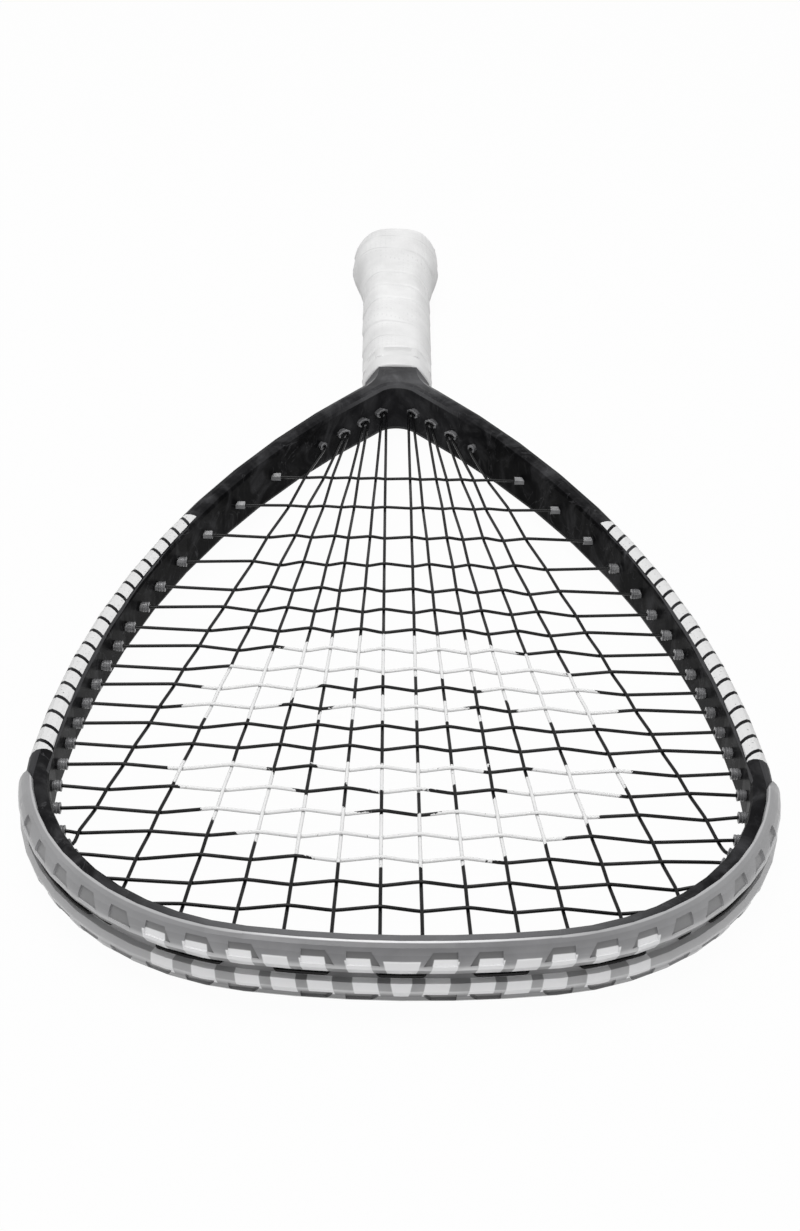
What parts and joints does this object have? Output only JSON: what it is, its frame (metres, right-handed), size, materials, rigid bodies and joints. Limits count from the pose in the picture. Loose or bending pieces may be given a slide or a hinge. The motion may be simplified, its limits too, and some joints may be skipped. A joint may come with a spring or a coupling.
{
  "type": "racquetball racket",
  "caption": "Racquetball racket with a teardrop black carbon head, smoke grey bumper guard, black strings and a white wrapped octagonal grip",
  "frame": {"origin": "centre of the bounding box, in the plane of the strings", "axes": "+Y from the tip of the head to the butt, +Z square to the string plane, +X to the right seen from above with the tip towards the viewer"},
  "size_m": [0.2556, 0.556, 0.0312],
  "materials": {
    "carbon_frame": "satin black moulded carbon with faint cloudy marbling",
    "bumper_polymer": "translucent smoke grey moulded polymer",
    "grommet_nylon": "clear grey nylon",
    "string_nylon": "black monofilament with a slight sheen",
    "pallet_foam": "rigid moulded foam",
    "cap_plastic": "light grey moulded plastic",
    "grip_tape": "white cushioned synthetic tape, finely perforated",
    "collar_rubber": "smooth white rubber",
    "finishing_tape": "smooth white adhesive tape"
  },
  "bodies": {
    "root": {"frame": "carbon_frame", "bumper_guard": "bumper_polymer", "grommet_strip_left": "grommet_nylon", "grommet_strip_right": "grommet_nylon", "throat_grommet_left_1": "grommet_nylon", "throat_grommet_left_2": "grommet_nylon", "throat_grommet_left_3": "grommet_nylon", "throat_grommet_left_4": "grommet_nylon", "throat_grommet_right_1": "grommet_nylon", "throat_grommet_right_2": "grommet_nylon", "throat_grommet_right_3": "grommet_nylon", "throat_grommet_right_4": "grommet_nylon", "main_string": "string_nylon", "cross_string": "string_nylon", "pallet_half_upper": "pallet_foam", "pallet_half_lower": "pallet_foam", "butt_cap": "cap_plastic", "grip_wrap": "grip_tape", "grip_collar": "collar_rubber", "finishing_tape": "finishing_tape"}
  },
  "joints": []
}
